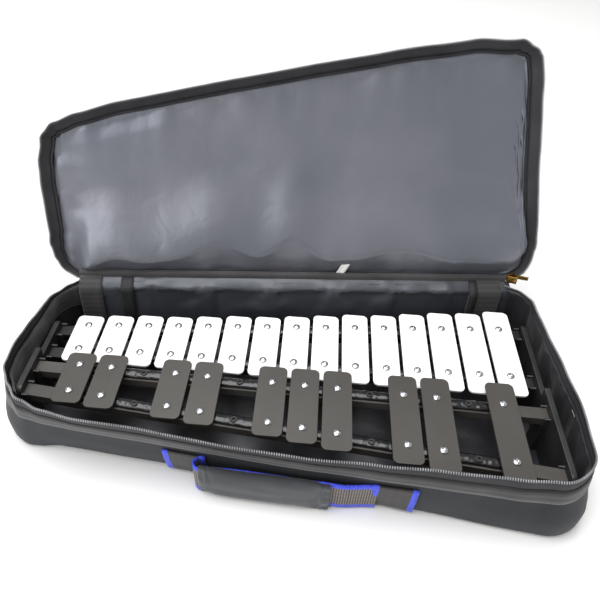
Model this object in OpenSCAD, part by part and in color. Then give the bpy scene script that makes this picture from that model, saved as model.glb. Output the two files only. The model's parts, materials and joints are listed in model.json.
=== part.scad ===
// Two-octave bell kit (metal-bar xylophone) on a rail frame, in its soft zipped case.
// +X runs to the bass end, +Y to the case's hinge, +Z up; origin under the middle of the case.

/* [Bars] */
// Distance between neighbouring natural bars, centre to centre
bar_pitch = 28.5; // [26:0.5:36]
// Width of every bar
bar_w = 25; // [20:0.5:25.5]
// Thickness of every bar
bar_t = 2; // [1.5:0.1:3]
// Corner radius of the bars
bar_corner_r = 5; // [2:0.5:8]
// Length of the lowest natural bar
natural_bass_len = 108; // [90:1:130]
// Length of the highest natural bar
natural_treble_len = 58; // [48:1:72]
// Length a sharp bar would have at the lowest pitch
sharp_bass_len = 107; // [90:1:130]
// Length a sharp bar would have at the highest pitch
sharp_treble_len = 54; // [46:1:70]
// Height of the sharp bars above the natural bars
sharp_rise = 9.5; // [8:0.5:14]
// Overlap of the sharp bars' back ends over the natural bars, at the treble end
sharp_overlap_treble = 1.4; // [0:0.1:4]
// Overlap of the sharp bars' back ends over the natural bars, at the bass end
sharp_overlap_bass = 4.8; // [0:0.1:8]
// Sideways shift of the sharp bars from the middle of the gaps
sharp_shift = -2.8; // [-5:0.1:5]
// Diameter of the screw holes in the bars
bar_hole_d = 4.6; // [3.5:0.1:6]

/* [Screw lines] */
// Back screws of the natural bars, from the bars' back ends: treble, then bass
natural_back_inset = [12.5, 24.8];
// Front screws of the natural bars, from the bars' front ends: treble, then bass
natural_front_inset = [15.1, 22.4];
// Back screws of the sharp bars, from the bars' back ends: treble, then bass
sharp_back_inset = [13.4, 23.4];
// Front screws of the sharp bars, from the bars' front ends: treble, then bass
sharp_front_inset = [12.8, 22.9];

/* [Rail frame] */
// Width of the rails
rail_w = 12; // [10:0.5:16]
// Height of the rails
rail_h = 8; // [6:0.5:12]
// Height of the posts between rail and washer
post_h = 4.5; // [3:0.5:8]
// Outside diameter of the posts
post_d = 6; // [5:0.1:8]
// Thickness of the felt washers under the bars
washer_t = 1; // [0.5:0.1:2]
// Outside diameter of the felt washers
washer_d = 9; // [7:0.5:12]
// Width of the cushion strip on each rail
cushion_w = 10; // [8:0.5:11]
// Thickness of the cushion strip
cushion_t = 3; // [1:0.5:3.5]
// Diameter of the screw heads
screw_head_d = 7; // [6:0.1:9]
// Height of the screw heads
screw_head_h = 2; // [1:0.1:3]
// Diameter of the screw shanks
screw_d = 2.5; // [2:0.1:3]
// Depth of the screws in the rails
screw_bite = 6; // [4:0.5:6]
// Height of the natural bars' top over the frame's underside
natural_top = 40; // [34:0.5:60]
// Thickness of the end plates
plate_t = 5; // [3:0.5:8]
// Middle of the treble end plate beyond the highest bar's centre
treble_overhang = 31.5; // [28:0.5:45]
// Middle of the bass end plate beyond the lowest bar's centre
bass_overhang = 26; // [24:0.5:45]
// Width of the end plates beyond the outer rails
plate_margin = 9; // [9:0.5:14]
// Depth of the rail sockets on the end plates
socket_depth = 5.5; // [3:0.5:8]
// Wall of the rail sockets
socket_wall = 2; // [1.5:0.1:2.5]

/* [Case] */
// Gap between the end plates and the case lining
end_gap = 13.5; // [4:0.5:30]
// Gap between the lowest sharp bar and the front lining
front_gap_bass = 1.7; // [1.5:0.1:20]
// Gap between the highest sharp bar and the front lining
front_gap_treble = 11.2; // [1.5:0.1:30]
// Corner radius of the case in plan
case_corner_r = 36; // [25:1:40]
// Height of the sewn side wall
base_h = 58; // [56:1:90]
// Thickness of the outer fabric
fabric_t = 1; // [0.8:0.1:2]
// Thickness of the foam in the walls
foam_t = 2.2; // [1:0.1:6]
// Thickness of the lining fabric
lining_t = 0.6; // [0.4:0.1:1.2]
// Thickness of the stiff board in the floor
board_t = 3; // [2:0.5:5]
// Height of the woven band below the rim
band_h = 19; // [14:1:24]
// Thickness of the woven band
band_t = 0.8; // [0.5:0.1:1.5]
// Diameter of the piping cord
piping_d = 2.4; // [1.8:0.1:3]
// Visible width of each zip tape
tape_w = 11; // [8:0.5:16]
// Thickness of the zip tape
tape_t = 1; // [0.6:0.1:1.5]
// Width of one zip coil
coil_w = 2; // [1.5:0.1:3]
// Height of one zip coil
coil_h = 1.5; // [1:0.1:2]
// Start of the zip past the start of the bass end's back corner
zip_start = 2.5; // [1:0.5:4]
// Distance of the hinge line behind the case wall
hinge_out = 3; // [2.5:0.5:6]
// Thickness of the foam in the lid
lid_foam_t = 4; // [2:0.5:8]
// Depth of the lid above the zip
lid_h = 18; // [17:1:40]
// Opening angle of the lid as stored, from closed
lid_open = 108; // [0:1:175]

/* [Handle] */
// Width of the handle webbing
webbing_w = 36; // [25:1:36]
// Thickness of the handle webbing
webbing_t = 1.6; // [1.2:0.1:2.5]
// Centre of the treble patch along the front wall
patch_treble_x = -80; // [-120:1:-70]
// Centre of the bass patch along the front wall
patch_bass_x = 92; // [80:1:130]
// Gap between the handle and the front wall at its middle
handle_gap = 9; // [8:0.5:20]
// Thickness of the padded sleeve
sleeve_t = 10; // [6:0.5:12]
// Length of the padded sleeve
sleeve_len = 96; // [80:1:105]
// Length over which the strap leaves the wall, at each end
ramp_len = 6; // [5:0.5:14]
// Clearance of the handle to the floor
handle_floor_gap = 1.5; // [1:0.5:4]

/* [Fits] */
// Clearance between pieces of different bodies at rest
body_clear = 0.3; // [0.3:0.1:1]
// Radial clearance of screws in their holes
screw_clear = 0.05; // [0.03:0.01:0.1]
// Clearance of a rail in its socket, per side
rail_clear = 0.2; // [0.1:0.1:0.4]
// Gap that stands for the thread between two sewn layers
sewn_gap = 0.05; // [0.02:0.01:0.1]

/* [Hidden] */
$fn = 32;
ARC_STEPS = 10;
OVERCUT = 1;

// Semitones below the highest note, one number a bar, treble bar first; 24 is the lowest note.
natural_drop = [0, 2, 4, 5, 7, 9, 10, 12, 14, 16, 17, 19, 21, 22, 24];
sharp_drop = [1, 3, 6, 8, 11, 13, 15, 18, 20, 23];
// Gap of the natural row in which each sharp bar stands
sharp_slot = [0.5, 1.5, 3.5, 4.5, 6.5, 7.5, 8.5, 10.5, 11.5, 13.5];
natural_count = len(natural_drop);
sharp_count = len(sharp_drop);
last_slot = natural_count - 1;
octaves_drop = natural_drop[last_slot];

function two_digits(n) = n < 10 ? str("0", n) : str(n);
natural_names = [for (i = [1:natural_count]) str("natural_bar_", two_digits(i))];
sharp_names = [for (i = [1:sharp_count]) str("sharp_bar_", two_digits(i))];

// ---- Heights
wall_t = fabric_t + foam_t + lining_t;
board_z = fabric_t;
floor_lining_z = board_z + board_t;
floor_top = floor_lining_z + lining_t;
frame_z = floor_top + body_clear;
natural_z = frame_z + natural_top - bar_t;
sharp_z = natural_z + sharp_rise;
stand_h = post_h + washer_t;
natural_rail_z = natural_z - stand_h - rail_h;
sharp_rail_z = sharp_z - stand_h - rail_h;

// ---- Bar places; the frame is centred between its end plates
row_len = last_slot * bar_pitch;
frame_mid = (row_len + bass_overhang - treble_overhang) / 2;
natural_front_y = -14;
function slot_x(slot) = slot * bar_pitch - frame_mid;
function natural_x(i) = slot_x(i);
function sharp_x(i) = slot_x(sharp_slot[i]) + sharp_shift;
function bar_len(bass, treble, drop) = treble * pow(bass / treble, drop / octaves_drop);
function natural_len(i) = bar_len(natural_bass_len, natural_treble_len, natural_drop[i]);
function sharp_len(i) = bar_len(sharp_bass_len, sharp_treble_len, sharp_drop[i]);
function along(first, last, t) = first + (last - first) * t;
function sharp_back_y(i) = natural_front_y
    + along(sharp_overlap_treble, sharp_overlap_bass, sharp_slot[i] / last_slot);
function natural_back_y(i) = natural_front_y + natural_len(i);
function sharp_front_y(i) = sharp_back_y(i) - sharp_len(i);

// ---- Screw lines, each as [x of its treble point, y there, x of its bass point, y there]
s_end = sharp_count - 1;
natural_back_line = [natural_x(0), natural_back_y(0) - natural_back_inset[0],
                     natural_x(last_slot), natural_back_y(last_slot) - natural_back_inset[1]];
natural_front_line = [natural_x(0), natural_front_y + natural_front_inset[0],
                      natural_x(last_slot), natural_front_y + natural_front_inset[1]];
sharp_back_line = [sharp_x(0), sharp_back_y(0) - sharp_back_inset[0],
                   sharp_x(s_end), sharp_back_y(s_end) - sharp_back_inset[1]];
sharp_front_line = [sharp_x(0), sharp_front_y(0) + sharp_front_inset[0],
                    sharp_x(s_end), sharp_front_y(s_end) + sharp_front_inset[1]];
function line_slope(l) = (l[3] - l[1]) / (l[2] - l[0]);
function line_y(l, x) = l[1] + line_slope(l) * (x - l[0]);

// ---- End plates
treble_plate_x = -(row_len + bass_overhang + treble_overhang) / 2;
bass_plate_x = -treble_plate_x;
rail_end = bass_plate_x - plate_t / 2 - rail_clear;
plate_step_y = (line_y(natural_front_line, 0) + line_y(sharp_back_line, 0)) / 2;
plate_corner_r = 6;

// ---- Case outline: the front wall clears the sharp bars, the back wall mirrors it
treble_half = front_gap_treble + wall_t - sharp_front_y(0);
bass_half = front_gap_bass + wall_t - sharp_front_y(s_end);
case_slope = (bass_half - treble_half) / (sharp_x(s_end) - sharp_x(0));
case_mid_half = treble_half - case_slope * sharp_x(0);
case_taper = atan(case_slope);
case_len = 2 * (bass_plate_x + plate_t / 2 + end_gap + wall_t);
zip_z = base_h + tape_w + coil_h + body_clear / 2;
hinge_y = case_mid_half + hinge_out / cos(case_taper);

// The hinge runs along the back wall's straight, and the zip starts just past its bass end
hinge_len = 2 * ((case_len / 2 - case_corner_r) / cos(case_taper)
    - case_corner_r * tan(case_taper) + zip_start);

// Corner centres keep their x, so that inset outlines stay parallel
corner_x = case_len / 2 - case_corner_r;
function corner_y(side) = case_mid_half + side * case_slope * corner_x - case_corner_r / cos(case_taper);
function arc_points(centre, r, from, to) = [for (k = [0:ARC_STEPS])
    let (a = along(from, to, k / ARC_STEPS)) centre + r * [cos(a), sin(a)]];
function outline(inset) = let (r = case_corner_r - inset) concat(
    arc_points([corner_x, corner_y(1)], r, 0, 90 + case_taper),
    arc_points([-corner_x, corner_y(-1)], r, 90 + case_taper, 180),
    arc_points([-corner_x, -corner_y(-1)], r, 180, 270 - case_taper),
    arc_points([corner_x, -corner_y(1)], r, 270 - case_taper, 360));

// ---- Colours
WHITE_PAINT = "#f4f4f2";
DARK_PAINT = "#5f5c58";
BLACK = "#1c1c1e";
NYLON = "#43484d";
LINING = "#6f7378";
TAPE = "#3a3a3c";
COIL = "#8d8f92";
GROSGRAIN = "#5a5453";
ROYAL_BLUE = "#2b3fd0";
STEEL = "#c9ccce";
BRASS = "#a98a4e";
FELT = "#2c2c2e";
HARDBOARD = "#8a6f4d";
FOAM = "#d8d8d0";
LABEL = "#f2f2f0";

// ======== Helpers ========

module slab(inset, z, h) {
    translate([0, 0, z]) linear_extrude(h) polygon(outline(inset));
}

module ring(outer, inner, z, h) {
    difference() {
        slab(outer, z, h);
        slab(inner, z - OVERCUT, h + 2 * OVERCUT);
    }
}

// The stretch of the back wall that carries the hinge instead of the zip
module hinge_zone(z, h, depth) {
    translate([0, case_mid_half, z]) rotate([0, 0, case_taper])
        translate([-hinge_len / 2, -depth, 0]) cube([hinge_len, depth + OVERCUT, h]);
}

module along_zip() {
    difference() {
        children();
        hinge_zone(-OVERCUT, 4 * base_h, case_corner_r / 2);
    }
}

// Children are drawn with the lid closed and come out with the lid as stored
module in_lid() {
    translate([0, hinge_y, zip_z]) rotate(a = lid_open, v = [-cos(case_taper), -sin(case_taper), 0])
        translate([0, -hinge_y, -zip_z]) children();
}

// Front wall: local x runs along the wall, local -y points away from it
module on_front() {
    translate([0, -case_mid_half, 0]) rotate([0, 0, -case_taper]) children();
}

// Back wall: local x runs along the wall, local +y points away from it
module on_back() {
    translate([0, case_mid_half, 0]) rotate([0, 0, case_taper]) children();
}

module rounded_plate(w, l, r, t) {
    linear_extrude(t) union() {
        square([w - 2 * r, l], center = true);
        square([w, l - 2 * r], center = true);
        for (sx = [-1, 1], sy = [-1, 1])
            translate([sx * (w / 2 - r), sy * (l / 2 - r)]) circle(r);
    }
}

module tube(outer_d, inner_d, h) {
    difference() {
        cylinder(d = outer_d, h = h);
        translate([0, 0, -OVERCUT]) cylinder(d = inner_d, h = h + 2 * OVERCUT);
    }
}

// ======== Bars ========

// A flat bar with its two screw holes, centred on x, from y = back down to y = back - length
module bar(x, back, length, hole_back, hole_front, z) {
    translate([x, 0, z]) difference() {
        translate([0, back - length / 2, 0]) rounded_plate(bar_w, length, bar_corner_r, bar_t);
        for (y = [hole_back, hole_front])
            translate([0, y, -OVERCUT]) cylinder(d = bar_hole_d, h = bar_t + 2 * OVERCUT);
    }
}

module natural_bar(i) {
    x = natural_x(i);
    color(WHITE_PAINT)
        bar(x, natural_back_y(i), natural_len(i), line_y(natural_back_line, x),
            line_y(natural_front_line, x), natural_z);
}

module sharp_bar(i) {
    x = sharp_x(i);
    color(DARK_PAINT)
        bar(x, sharp_back_y(i), sharp_len(i), line_y(sharp_back_line, x),
            line_y(sharp_front_line, x), sharp_z);
}

// ======== Rail frame ========

// Every post position of a row, the places without a bar included
module at_natural_posts(l) {
    for (i = [0:natural_count - 1])
        translate([natural_x(i), line_y(l, natural_x(i)), 0]) children();
}

module at_sharp_posts(l) {
    for (i = [0:natural_count - 2]) {
        x = slot_x(i + 0.5) + sharp_shift;
        translate([x, line_y(l, x), 0]) children();
    }
}

module at_sharp_bars(l) {
    for (i = [0:sharp_count - 1])
        translate([sharp_x(i), line_y(l, sharp_x(i)), 0]) children();
}

// A straight band of the given width and height along a screw line, shifted back by offset
module along_line(l, x_from, x_to, width, offset, z, h) {
    half = width / 2 * sqrt(1 + line_slope(l) * line_slope(l));
    y_from = line_y(l, x_from) + offset;
    y_to = line_y(l, x_to) + offset;
    translate([0, 0, z]) linear_extrude(h) polygon([
        [x_from, y_from - half], [x_to, y_to - half], [x_to, y_to + half], [x_from, y_from + half]]);
}

module rail_bar(l, z) {
    along_line(l, -rail_end, rail_end, rail_w, 0, z, rail_h);
}

module rail_holes(z) {
    translate([0, 0, z + rail_h - screw_bite])
        cylinder(d = screw_d + 2 * screw_clear, h = screw_bite + OVERCUT);
}

module natural_rail(l) {
    color(DARK_PAINT) difference() {
        rail_bar(l, natural_rail_z);
        at_natural_posts(l) rail_holes(natural_rail_z);
    }
}

module sharp_rail(l) {
    color(DARK_PAINT) difference() {
        rail_bar(l, sharp_rail_z);
        at_sharp_posts(l) rail_holes(sharp_rail_z);
    }
}

// The strip stops short of the plain rail ends and lets the posts through
cushion_margin = 16;
cushion_shift = (rail_w - cushion_w) / 2 - 0.5;
post_clear = 0.1;

module cushion(l, x_from, x_to, z) {
    along_line(l, x_from - cushion_margin, x_to + cushion_margin, cushion_w, cushion_shift, z, cushion_t);
}

module post_hole(z) {
    translate([0, 0, z - OVERCUT])
        cylinder(d = post_d + 2 * post_clear, h = cushion_t + 2 * OVERCUT);
}

module rail_cushions() {
    natural_strip_z = natural_rail_z + rail_h;
    sharp_strip_z = sharp_rail_z + rail_h;
    color(BLACK) {
        for (l = [natural_back_line, natural_front_line]) difference() {
            cushion(l, natural_x(0), natural_x(last_slot), natural_strip_z);
            at_natural_posts(l) post_hole(natural_strip_z);
        }
        for (l = [sharp_back_line, sharp_front_line]) difference() {
            cushion(l, sharp_x(0), sharp_x(s_end), sharp_strip_z);
            at_sharp_posts(l) post_hole(sharp_strip_z);
        }
    }
}

module bar_posts() {
    bore = screw_d + 2 * screw_clear;
    color(BLACK) {
        for (l = [natural_back_line, natural_front_line])
            at_natural_posts(l) translate([0, 0, natural_rail_z + rail_h]) tube(post_d, bore, post_h);
        for (l = [sharp_back_line, sharp_front_line])
            at_sharp_posts(l) translate([0, 0, sharp_rail_z + rail_h]) tube(post_d, bore, post_h);
    }
}

module felt_washers() {
    bore = screw_d + 2 * screw_clear;
    color(FELT) {
        for (l = [natural_back_line, natural_front_line])
            at_natural_posts(l) translate([0, 0, natural_z - washer_t]) tube(washer_d, bore, washer_t);
        for (l = [sharp_back_line, sharp_front_line])
            at_sharp_bars(l) translate([0, 0, sharp_z - washer_t]) tube(washer_d, bore, washer_t);
    }
}

// Domed screw with a round-bottomed recess; z = 0 is the bar's top face
recess_d = 2.6;
recess_depth = 1;
dome_edge = 0.5;

module bar_screw() {
    shank = bar_t + stand_h + screw_bite - screw_clear;
    r = screw_head_d / 2;
    steps = 8;
    difference() {
        rotate_extrude() polygon(concat(
            [[0, -shank], [screw_d / 2, -shank], [screw_d / 2, 0], [r, 0]],
            [for (k = [0:steps]) let (a = 90 * k / steps)
                [r * cos(a), dome_edge + (screw_head_h - dome_edge) * sin(a)]]));
        translate([0, 0, screw_head_h - recess_depth]) cylinder(d = recess_d, h = screw_head_h);
    }
}

module natural_screws() {
    color(STEEL) for (l = [natural_back_line, natural_front_line])
        at_natural_posts(l) translate([0, 0, natural_z + bar_t]) bar_screw();
}

module sharp_screws() {
    color(STEEL) for (l = [sharp_back_line, sharp_front_line])
        at_sharp_bars(l) translate([0, 0, sharp_z + bar_t]) bar_screw();
}

// Side view of an end plate: low behind the step for the naturals, high before it for the sharps
module plate_profile(back, front) {
    low = natural_z + bar_t;
    high = sharp_z + bar_t;
    r = plate_corner_r;
    union() {
        difference() {
            translate([plate_step_y, frame_z]) square([back - plate_step_y, low - frame_z]);
            translate([back - r, low - r]) square([r + OVERCUT, r + OVERCUT]);
        }
        translate([back - r, low - r]) circle(r);
        difference() {
            translate([front, frame_z]) square([plate_step_y - front + bar_t, high - frame_z]);
            translate([front - OVERCUT, high - r]) square([r + OVERCUT, r + OVERCUT]);
        }
        translate([front + r, high - r]) circle(r);
    }
}

// Socket block that takes one rail's end; side is +1 on the treble plate, -1 on the bass plate
module rail_socket(l, x, side, z) {
    inner = x + side * (plate_t / 2 + socket_depth / 2);
    w = rail_w + 2 * (rail_clear + socket_wall);
    top = z + rail_h + socket_wall;
    translate([inner, line_y(l, inner), 0])
        translate([-socket_depth / 2, -w / 2, frame_z]) cube([socket_depth, w, top - frame_z]);
}

module rail_slot(l, z) {
    along_line(l, -rail_end - rail_clear, rail_end + rail_clear, rail_w + 2 * rail_clear,
               0, z - rail_clear, rail_h + 4 * socket_wall);
}

module end_plate(x, side) {
    back = line_y(natural_back_line, x) + plate_margin;
    front = line_y(sharp_front_line, x) - plate_margin;
    color(BLACK) difference() {
        union() {
            translate([x - plate_t / 2, 0, 0]) rotate([90, 0, 90])
                linear_extrude(plate_t) plate_profile(back, front);
            for (l = [natural_back_line, natural_front_line]) rail_socket(l, x, side, natural_rail_z);
            for (l = [sharp_back_line, sharp_front_line]) rail_socket(l, x, side, sharp_rail_z);
        }
        for (l = [natural_back_line, natural_front_line]) rail_slot(l, natural_rail_z);
        for (l = [sharp_back_line, sharp_front_line]) rail_slot(l, sharp_rail_z);
    }
}

// ======== Case base ========

// Outer nylon: floor and side wall
module base_shell() {
    color(NYLON) difference() {
        slab(0, 0, base_h);
        slab(fabric_t, fabric_t, base_h);
    }
}

module base_board() {
    color(HARDBOARD) slab(fabric_t, board_z, board_t);
}

module base_padding() {
    color(FOAM) ring(fabric_t, fabric_t + foam_t, floor_lining_z, base_h - floor_lining_z);
}

module base_lining() {
    inset = fabric_t + foam_t;
    color(LINING) difference() {
        slab(inset, floor_lining_z, base_h - floor_lining_z);
        slab(wall_t, floor_top, base_h);
    }
}

module base_band() {
    color(GROSGRAIN) ring(-band_t, 0, base_h - band_h, band_h);
}

module base_piping() {
    color(BLACK) ring(-band_t, piping_d - band_t, base_h, piping_d);
}

// The tape stands up from the seam, inside the piping
tape_inset = piping_d - band_t;
coil_inset = tape_inset + tape_t / 2 - coil_w / 2;

module base_zip_tape() {
    color(TAPE) along_zip() ring(tape_inset, tape_inset + tape_t, base_h, tape_w);
}

module base_zip_coil() {
    color(COIL) along_zip() ring(coil_inset, coil_inset + coil_w, base_h + tape_w, coil_h);
}

// Fabric between the back wall and the hinge line, ending clear of the zip tape
module hinge_panel() {
    end_clear = 1;
    color(LINING) on_back()
        translate([-hinge_len / 2 + end_clear, -tape_inset - tape_t - sewn_gap, base_h])
            cube([hinge_len - 2 * end_clear, tape_t, tape_w]);
}

// Woven reinforcements inside the back wall, at both ends of the hinge
hinge_webbing_len = 50;
hinge_webbing_w = 20;
hinge_webbing_end = 8;
webbing_centre = hinge_len / 2 - hinge_webbing_len / 2 - hinge_webbing_end;

module hinge_webbing(centre) {
    color(BLACK) on_back()
        translate([centre - hinge_webbing_len / 2, -wall_t - band_t - sewn_gap, base_h - hinge_webbing_w])
            cube([hinge_webbing_len, band_t, hinge_webbing_w]);
}

// ======== Lid ========

lid_skirt_z = zip_z + body_clear / 2 + coil_h + tape_w;
lid_top = zip_z + lid_h;
lid_lining_z = lid_top - fabric_t - lid_foam_t - lining_t;

module lid_shell() {
    color(NYLON) in_lid() difference() {
        slab(0, lid_skirt_z, lid_top - lid_skirt_z);
        slab(fabric_t, lid_skirt_z - OVERCUT, lid_top - lid_skirt_z - fabric_t + OVERCUT);
    }
}

module lid_padding() {
    z = lid_top - fabric_t - lid_foam_t;
    color(FOAM) in_lid() slab(fabric_t, z, lid_foam_t);
}

module lid_lining() {
    color(LINING) in_lid() slab(fabric_t + foam_t + piping_d, lid_lining_z, lining_t);
}

// Bead where tape, skirt and lining are sewn together
module lid_piping() {
    z = lid_top - fabric_t - lid_foam_t - piping_d;
    color(BLACK) in_lid() ring(fabric_t + foam_t, fabric_t + foam_t + piping_d, z, piping_d);
}

module lid_zip_tape() {
    z = zip_z + body_clear / 2 + coil_h;
    color(TAPE) in_lid() difference() {
        ring(tape_inset, tape_inset + tape_t, z, lid_top - fabric_t - lid_foam_t - z);
        slider_room();
    }
}

module lid_zip_coil() {
    z = zip_z + body_clear / 2;
    color(COIL) in_lid() difference() {
        along_zip() ring(coil_inset, coil_inset + coil_w, z, coil_h);
        slider_room();
    }
}

// Small folded label sewn into the lid's lower seam
label_w = 9;
label_h = 14;
label_t = 0.5;
label_x = 45;
label_lean = 5;

module care_label() {
    y = -fabric_t - foam_t - 2 * piping_d;
    color(LABEL) in_lid() on_back()
        translate([label_x, y, lid_lining_z - label_t]) linear_extrude(label_t) polygon([
            [0, 0], [label_w, 0], [label_w + label_lean, -label_h], [label_lean, -label_h]]);
}

// ======== Zip slider ========

// Two curved plates hold the coils between them and run round the bass end's back corner.
slider_len = 10;
slider_w = 8;
slider_plate_t = 1.2;
slider_play = 0.3;
slider_web_t = 1.4;
slider_web_len = 2.5;
lug_len = 3;
lug_t = 1.1;
pin_d = 1.6;
pull_len = 16;
pull_w = 4.2;
pull_t = 1.2;
pull_wall = 0.8;
pull_clear = 0.3;

coil_r = case_corner_r - coil_inset - coil_w / 2;
slider_arc = slider_len / coil_r * 180 / PI;
// The slider waits where the zip starts, just past the hinge
slider_gap_arc = 3.5;
slider_start = 90 + case_taper - zip_start / coil_r * 180 / PI - slider_arc / 2 - slider_gap_arc;
pin_out = coil_w / 2 + slider_play + slider_plate_t + pin_d / 2 + pull_wall + pull_clear;

module at_corner() {
    translate([corner_x, corner_y(1), zip_z]) children();
}

// A curved plate of the slider between two distances from the coils' middle
module slider_plate(near, far, arc, z, h) {
    at_corner() rotate([0, 0, slider_start - arc / 2])
        translate([0, 0, z]) rotate_extrude(angle = arc)
            translate([coil_r + near, 0]) square([far - near, h]);
}

// Local x points away from the case, local -y along the slider's way
module at_slider() {
    at_corner() rotate([0, 0, slider_start]) translate([coil_r, 0, 0]) children();
}

// Space that the slider needs between the lid's tape and the wall
module slider_room() {
    room = 2 * slider_arc;
    slider_plate(-coil_w * 2, coil_w * 2, room, -OVERCUT, slider_w / 2 + 2 * OVERCUT);
}

module zip_slider() {
    near = coil_w / 2 + slider_play;
    far = near + slider_plate_t;
    color(BRASS) union() {
        slider_plate(near, far, slider_arc, -slider_w / 2, slider_w);
        slider_plate(-far, -near, slider_arc, -slider_w / 2, slider_w);
        at_corner() rotate([0, 0, slider_start + slider_arc / 2 * (1 - slider_web_len / slider_len)])
            translate([0, 0, body_clear / 2]) rotate_extrude(angle = slider_arc / 2 * slider_web_len / slider_len)
                translate([coil_r - far, 0]) square([2 * far, slider_web_t]);
        at_slider() for (s = [-1, 1])
            translate([far - slider_play, -lug_len / 2, s * (pull_w / 2 + pull_clear + lug_t / 2) - lug_t / 2])
                cube([pin_out - far + pin_d / 2 + slider_play, lug_len, lug_t]);
        at_slider() translate([pin_out, 0, -pull_w / 2 - pull_clear - lug_t])
            cylinder(d = pin_d, h = pull_w + 2 * (pull_clear + lug_t));
    }
}

// The pull turns on the slider's upright pin and lies along the slider's way
module zip_pull() {
    eye = pin_d + 0.1;
    color(BRASS) at_slider() translate([pin_out, 0, -pull_w / 2]) difference() {
        union() {
            cylinder(d = eye + 2 * pull_wall, h = pull_w);
            translate([-pull_t / 2, -pull_len, 0]) cube([pull_t, pull_len, pull_w]);
        }
        translate([0, 0, -OVERCUT]) cylinder(d = eye, h = pull_w + 2 * OVERCUT);
    }
}

// ======== Handle ========

patch_rise = 3;
strap_clear = 2;
sleeve_wall = 1;
sleeve_clear = 0.05;
patch_top = base_h - band_h;
patch_bottom = handle_floor_gap + patch_rise;
strap_from = patch_treble_x + webbing_w / 2 + strap_clear;
strap_to = patch_bass_x - webbing_w / 2 - strap_clear;
strap_top = handle_floor_gap + webbing_w + sleeve_wall;
strap_y = -handle_gap - sleeve_t / 2;
strap_end_y = -webbing_t - strap_clear;

module handle_patch(centre) {
    color(ROYAL_BLUE) on_front()
        translate([centre - webbing_w / 2, -webbing_t, patch_bottom])
            cube([webbing_w, webbing_t, patch_top - patch_bottom]);
}

// Webbing from patch to patch, bowed away from the wall
module strap_solid(t, edge) {
    path = [[strap_from, strap_end_y], [strap_from + ramp_len, strap_y],
            [strap_to - ramp_len, strap_y], [strap_to, strap_end_y]];
    upper = [for (p = path) p + [0, t / 2]];
    lower = [for (k = [len(path) - 1:-1:0]) path[k] - [0, t / 2]];
    translate([0, 0, strap_top - webbing_w - edge]) linear_extrude(webbing_w + 2 * edge)
        polygon(concat(upper, lower));
}

module handle_strap() {
    color(BLACK) on_front() strap_solid(webbing_t, 0);
}

module handle_sleeve() {
    from = strap_from + ramp_len;
    color(NYLON) on_front() difference() {
        translate([from, strap_y, strap_top - webbing_w / 2]) rotate([90, 0, 90])
            linear_extrude(sleeve_len) union() {
                square([sleeve_t, webbing_w + 2 * sleeve_wall - sleeve_t], center = true);
                for (s = [-1, 1])
                    translate([0, s * (webbing_w / 2 + sleeve_wall - sleeve_t / 2)]) circle(sleeve_t / 2);
            }
        strap_solid(webbing_t + 2 * sleeve_clear, sleeve_clear);
    }
}

// ======== Nodes ========

for (i = [0:natural_count - 1]) natural_bar(i);
for (i = [0:sharp_count - 1]) sharp_bar(i);
natural_rail(natural_back_line);  // natural_rail_back
natural_rail(natural_front_line);  // natural_rail_front
sharp_rail(sharp_back_line);  // sharp_rail_back
sharp_rail(sharp_front_line);  // sharp_rail_front
rail_cushions();
bar_posts();
felt_washers();
natural_screws();
sharp_screws();
end_plate(treble_plate_x, 1);  // end_plate_treble
end_plate(bass_plate_x, -1);  // end_plate_bass
base_shell();
base_board();
base_padding();
base_lining();
base_band();
base_piping();
base_zip_tape();
base_zip_coil();
hinge_panel();
hinge_webbing(-webbing_centre);  // hinge_webbing_treble
hinge_webbing(webbing_centre);  // hinge_webbing_bass
lid_shell();
lid_padding();
lid_lining();
lid_piping();
lid_zip_tape();
lid_zip_coil();
care_label();
zip_slider();
zip_pull();
handle_patch(patch_treble_x);  // handle_patch_treble
handle_patch(patch_bass_x);  // handle_patch_bass
handle_strap();
handle_sleeve();
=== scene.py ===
import json
import math

import bmesh
import bpy
from mathutils import Matrix, Vector, noise


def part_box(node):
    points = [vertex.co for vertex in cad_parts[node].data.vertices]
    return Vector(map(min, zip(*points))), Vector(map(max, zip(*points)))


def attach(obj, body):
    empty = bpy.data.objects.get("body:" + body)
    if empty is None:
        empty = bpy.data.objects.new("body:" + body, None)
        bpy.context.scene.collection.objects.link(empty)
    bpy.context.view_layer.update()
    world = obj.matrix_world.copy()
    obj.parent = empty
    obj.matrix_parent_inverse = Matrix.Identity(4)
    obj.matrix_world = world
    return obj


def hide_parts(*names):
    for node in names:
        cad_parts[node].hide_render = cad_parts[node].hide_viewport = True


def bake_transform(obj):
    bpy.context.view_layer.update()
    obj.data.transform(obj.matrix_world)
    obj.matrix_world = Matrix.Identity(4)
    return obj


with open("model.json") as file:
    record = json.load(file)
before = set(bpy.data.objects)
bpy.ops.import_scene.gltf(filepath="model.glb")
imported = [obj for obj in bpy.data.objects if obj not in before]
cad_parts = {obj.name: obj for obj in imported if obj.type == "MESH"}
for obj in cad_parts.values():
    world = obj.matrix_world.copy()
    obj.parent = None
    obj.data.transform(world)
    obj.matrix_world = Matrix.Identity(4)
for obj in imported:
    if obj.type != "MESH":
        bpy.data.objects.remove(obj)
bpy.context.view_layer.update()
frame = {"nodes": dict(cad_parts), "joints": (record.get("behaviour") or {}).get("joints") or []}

scene = bpy.context.scene

MM = 0.001
# A wave texture of scale 1 repeats its bands this many metres apart
WAVE_SPACING = 0.314159

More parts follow.
